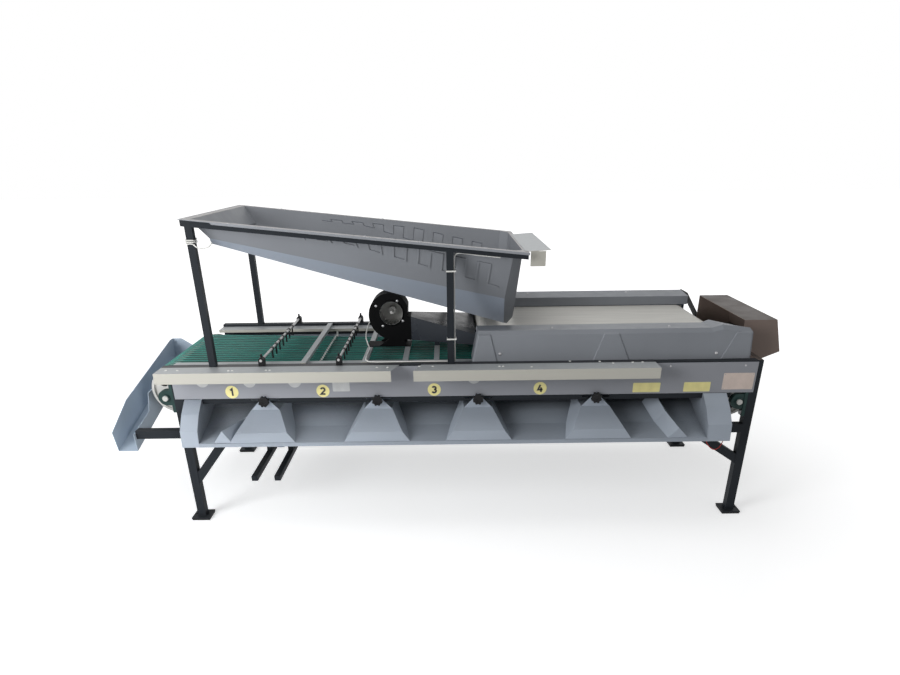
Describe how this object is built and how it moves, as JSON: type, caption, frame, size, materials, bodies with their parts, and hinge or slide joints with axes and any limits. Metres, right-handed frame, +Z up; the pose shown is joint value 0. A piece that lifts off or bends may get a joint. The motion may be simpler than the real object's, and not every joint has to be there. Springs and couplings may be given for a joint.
{
  "type": "fruit grading machine",
  "caption": "Floor-standing fruit grader: tilted hopper, flat feed belt, blower and a bed of spreading green ropes over a tray of outlets with sliding dividers.",
  "frame": {"origin": "on the floor under the middle of the machine's box", "axes": "+X along the machine from the chute end to the hood end, +Y from the outlet side to the far side, +Z up"},
  "size_m": [3.1349, 1.035, 1.403],
  "materials": {
    "frame_paint": "dark slate enamel on welded tube",
    "panel_paint": "grey enamel on folded sheet",
    "zinc_sheet": "galvanised sheet",
    "drum_steel": "pale grey drum",
    "bare_steel": "turned steel",
    "bearing_paint": "dark green cast housing",
    "chain_steel": "oiled chain steel",
    "motor_paint": "blue-grey motor enamel",
    "hopper_paint": "blue-grey enamel with a satin sheen",
    "cover_shell": "moulded grey shell",
    "hood_paint": "brown-grey sheet",
    "black_paint": "black enamel",
    "black_plastic": "black moulded plastic",
    "white_plastic": "white plastic",
    "rope_green": "green polyurethane rope",
    "belt_white": "off-white conveyor belt",
    "foot_rubber": "black rubber",
    "cable_white": "white cable sheath",
    "wire_red": "red wire sheath"
  },
  "bodies": {
    "frame": {"side_beams": "frame_paint", "legs": "frame_paint", "foot_plates": "frame_paint", "foot_pads": "foot_rubber", "lower_rails": "frame_paint", "knee_braces": "frame_paint", "cross_members": "frame_paint", "chute_arms": "frame_paint", "motor_cradle": "frame_paint", "near_fascia": "panel_paint", "far_fascia": "panel_paint", "slot_rail": "frame_paint", "cover_strips": "zinc_sheet", "bed_guides": "zinc_sheet", "cross_bars": "zinc_sheet", "outlet_tray": "panel_paint", "ridge_divider": "panel_paint", "end_chute": "hopper_paint", "hopper": "hopper_paint", "stand_posts": "frame_paint", "rim_bars": "frame_paint", "lip_plate": "zinc_sheet", "fan_housing": "black_paint", "fan_motor": "black_paint", "fan_duct": "frame_paint", "rope_comb": "white_plastic", "ropes": "rope_green", "feed_belt": "belt_white", "belt_bed": "zinc_sheet", "near_cover": "cover_shell", "far_cover": "cover_shell", "end_hood": "hood_paint", "drum_bearings": "bearing_paint", "roller_bearings": "bearing_paint", "drum_gearmotor": "motor_paint", "drive_chain": "chain_steel", "feed_gearmotor": "motor_paint", "feed_guard": "black_paint", "comb_clamps": "black_plastic", "fan_cable": "cable_white", "post_cord": "cable_white", "wire_clips": "cable_white", "earth_wire": "wire_red"},
    "head": {"head_drum": "drum_steel", "head_sprocket": "chain_steel"},
    "tail": {"tail_drum": "drum_steel"},
    "motor_output": {"motor_sprocket": "chain_steel"},
    "feed_drive": {"drive_roller": "bare_steel"},
    "feed_tail": {"tail_roller": "bare_steel"},
    "blower_wheel": {"fan_wheel": "black_paint"},
    "finger_bar_1": {"comb_bar_1": "black_paint"},
    "finger_bar_2": {"comb_bar_2": "black_paint"},
    "outlet_divider_1": {"divider_1": "panel_paint"},
    "clamp_knob_1": {"knob_1": "black_plastic"},
    "outlet_divider_2": {"divider_2": "panel_paint"},
    "clamp_knob_2": {"knob_2": "black_plastic"},
    "outlet_divider_3": {"divider_3": "panel_paint"},
    "clamp_knob_3": {"knob_3": "black_plastic"},
    "outlet_divider_4": {"divider_4": "panel_paint"},
    "clamp_knob_4": {"knob_4": "black_plastic"}
  },
  "joints": [
    {"name": "head_drum_spin", "type": "hinge", "parent": "frame", "child": "head", "pos_m": [-1.297, 0.0525, 0.635], "axis": [0, 1, 0], "continuous": true},
    {"name": "tail_drum_spin", "type": "hinge", "parent": "frame", "child": "tail", "pos_m": [1.358, 0.0525, 0.583], "axis": [0, 1, 0], "continuous": true},
    {"name": "motor_output_spin", "type": "hinge", "parent": "frame", "child": "motor_output", "pos_m": [-0.9105, 0.0525, 0.275], "axis": [0, 1, 0], "continuous": true},
    {"name": "drive_roller_spin", "type": "hinge", "parent": "frame", "child": "feed_drive", "pos_m": [1.2345, 0.0525, 0.8487], "axis": [0, 1, 0], "continuous": true},
    {"name": "tail_roller_spin", "type": "hinge", "parent": "frame", "child": "feed_tail", "pos_m": [0.1945, 0.0525, 0.8487], "axis": [0, 1, 0], "continuous": true},
    {"name": "blower_spin", "type": "hinge", "parent": "frame", "child": "blower_wheel", "pos_m": [-0.2635, 0.0525, 0.948], "axis": [0, 1, 0], "continuous": true},
    {"name": "divider_1_slide", "type": "slide", "parent": "frame", "child": "outlet_divider_1", "axis": [1, 0, 0], "range_m": [-0.06, 0.06]},
    {"name": "knob_1_turn", "type": "hinge", "parent": "outlet_divider_1", "child": "clamp_knob_1", "pos_m": [-0.8425, -0.4075, 0.619], "axis": [0, -1, 0], "range_deg": [-360, 360]},
    {"name": "divider_2_slide", "type": "slide", "parent": "frame", "child": "outlet_divider_2", "axis": [1, 0, 0], "range_m": [-0.06, 0.06]},
    {"name": "knob_2_turn", "type": "hinge", "parent": "outlet_divider_2", "child": "clamp_knob_2", "pos_m": [-0.3205, -0.4075, 0.619], "axis": [0, -1, 0], "range_deg": [-360, 360]},
    {"name": "divider_3_slide", "type": "slide", "parent": "frame", "child": "outlet_divider_3", "axis": [1, 0, 0], "range_m": [-0.06, 0.06]},
    {"name": "knob_3_turn", "type": "hinge", "parent": "outlet_divider_3", "child": "clamp_knob_3", "pos_m": [0.1435, -0.4075, 0.619], "axis": [0, -1, 0], "range_deg": [-360, 360]},
    {"name": "divider_4_slide", "type": "slide", "parent": "frame", "child": "outlet_divider_4", "axis": [1, 0, 0], "range_m": [-0.06, 0.06]},
    {"name": "knob_4_turn", "type": "hinge", "parent": "outlet_divider_4", "child": "clamp_knob_4", "pos_m": [0.6875, -0.4075, 0.619], "axis": [0, -1, 0], "range_deg": [-360, 360]},
    {"name": "finger_bar_1_tilt", "type": "hinge", "parent": "frame", "child": "finger_bar_1", "pos_m": [-0.8355, 0.0525, 0.805], "axis": [0, 1, 0], "range_deg": [-80, 80]},
    {"name": "finger_bar_2_tilt", "type": "hinge", "parent": "frame", "child": "finger_bar_2", "pos_m": [-0.4855, 0.0525, 0.805], "axis": [0, 1, 0], "range_deg": [-80, 80]}
  ],
  "couplings": [
    {"joint": "tail_drum_spin", "follows": "head_drum_spin", "ratio": 1},
    {"joint": "motor_output_spin", "follows": "head_drum_spin", "ratio": 2},
    {"joint": "tail_roller_spin", "follows": "drive_roller_spin", "ratio": 1}
  ]
}
